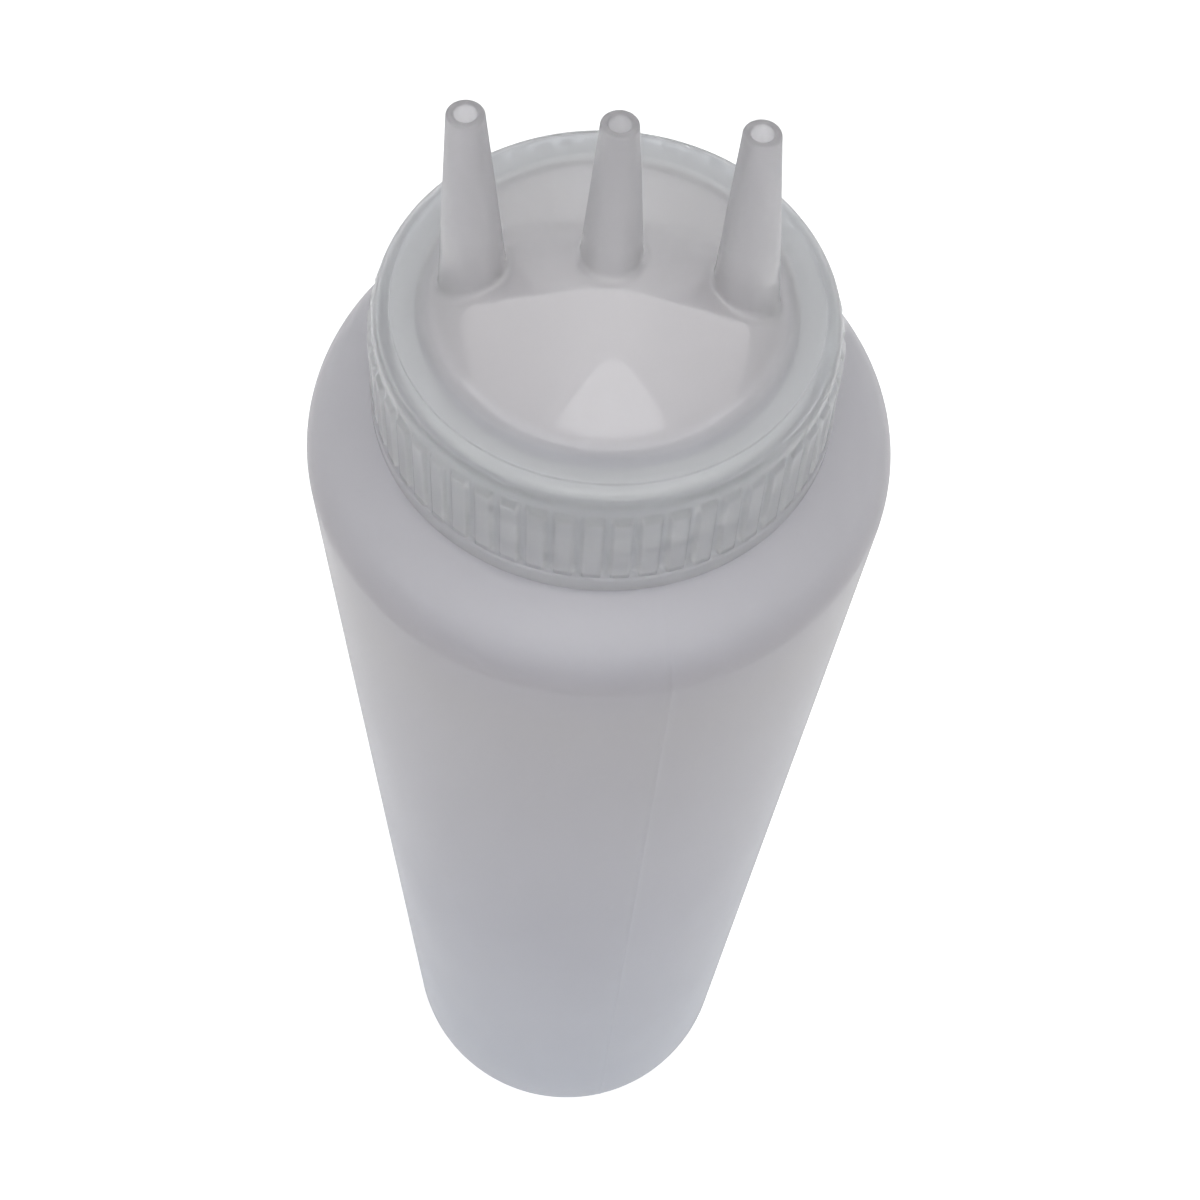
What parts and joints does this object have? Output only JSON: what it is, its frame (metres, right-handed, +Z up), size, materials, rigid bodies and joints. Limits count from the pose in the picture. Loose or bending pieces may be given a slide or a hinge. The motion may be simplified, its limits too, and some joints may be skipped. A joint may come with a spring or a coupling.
{
  "type": "dispensing sauce bottle",
  "caption": "Tall translucent squeeze bottle for sauces with a ribbed screw cap whose raised roof carries open conical nozzles in a row.",
  "frame": {"origin": "centre of the flat base the bottle stands on, on the bottle's axis", "axes": "+Z up along the bottle's axis, +X along the row of nozzles, -Y towards the viewer of the picture"},
  "size_m": [0.072, 0.072, 0.2764],
  "materials": {
    "body_plastic": "frosted translucent, soft satin",
    "cap_plastic": "translucent natural, satin",
    "seal_rubber": "matt"
  },
  "bodies": {
    "bottle": {"bottle_body": "body_plastic"},
    "seal": {"sealing_ring": "seal_rubber"},
    "cap": {"screw_cap": "cap_plastic"}
  },
  "joints": [
    {"name": "cap_lift", "type": "slide", "parent": "bottle", "child": "seal", "axis": [0, 0, 1], "range_m": [0, 0.0161]},
    {"name": "cap_turn", "type": "hinge", "parent": "seal", "child": "cap", "pos_m": [0, 0, 0.25], "axis": [0, 0, 1], "range_deg": [0, 1440]}
  ],
  "couplings": [
    {"joint": "cap_lift", "follows": "cap_turn", "m_per_rad": 0.00063662}
  ]
}
